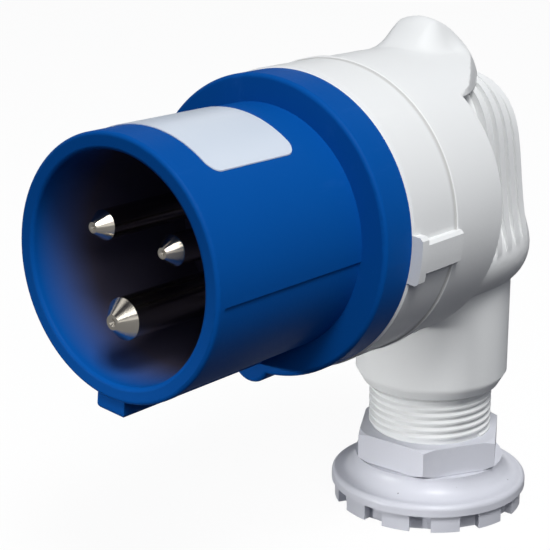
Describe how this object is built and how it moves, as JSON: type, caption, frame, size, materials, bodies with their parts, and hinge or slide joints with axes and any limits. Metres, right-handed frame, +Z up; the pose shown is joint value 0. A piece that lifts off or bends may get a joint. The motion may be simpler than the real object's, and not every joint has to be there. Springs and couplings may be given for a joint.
{
  "type": "right-angle industrial plug",
  "caption": "Right-angle industrial plug with a blue round shroud, plated pins, a white ribbed elbow body and an open cable gland.",
  "frame": {"origin": "centre of the gland cap's foot, on the gland axis", "axes": "+Z up the gland axis, -Y the way the pins point, +X to the plug's left-hand side seen from behind the pins"},
  "size_m": [0.0572, 0.1091, 0.1008],
  "materials": {
    "blue_plastic": "satin moulded",
    "white_plastic": "satin moulded",
    "gland_plastic": "satin moulded",
    "insulator": "matt",
    "plated_brass": "bright plated",
    "steel": "zinc plated",
    "rubber": "matt",
    "label": "bare"
  },
  "bodies": {
    "root": {"front_shroud": "blue_plastic", "rating_label": "label", "pin_carrier": "blue_plastic", "pin_retainer": "insulator", "retainer_screws": "steel", "shroud_gasket": "rubber", "coupling_ring": "white_plastic", "rear_body": "white_plastic", "lock_nut": "gland_plastic", "thrust_washer": "gland_plastic", "cable_seal": "rubber", "gland_cap": "gland_plastic", "line_pin": "plated_brass", "neutral_pin": "plated_brass", "earth_pin": "plated_brass", "line_terminal_screw": "steel", "neutral_terminal_screw": "steel", "earth_terminal_screw": "steel"}
  },
  "joints": []
}
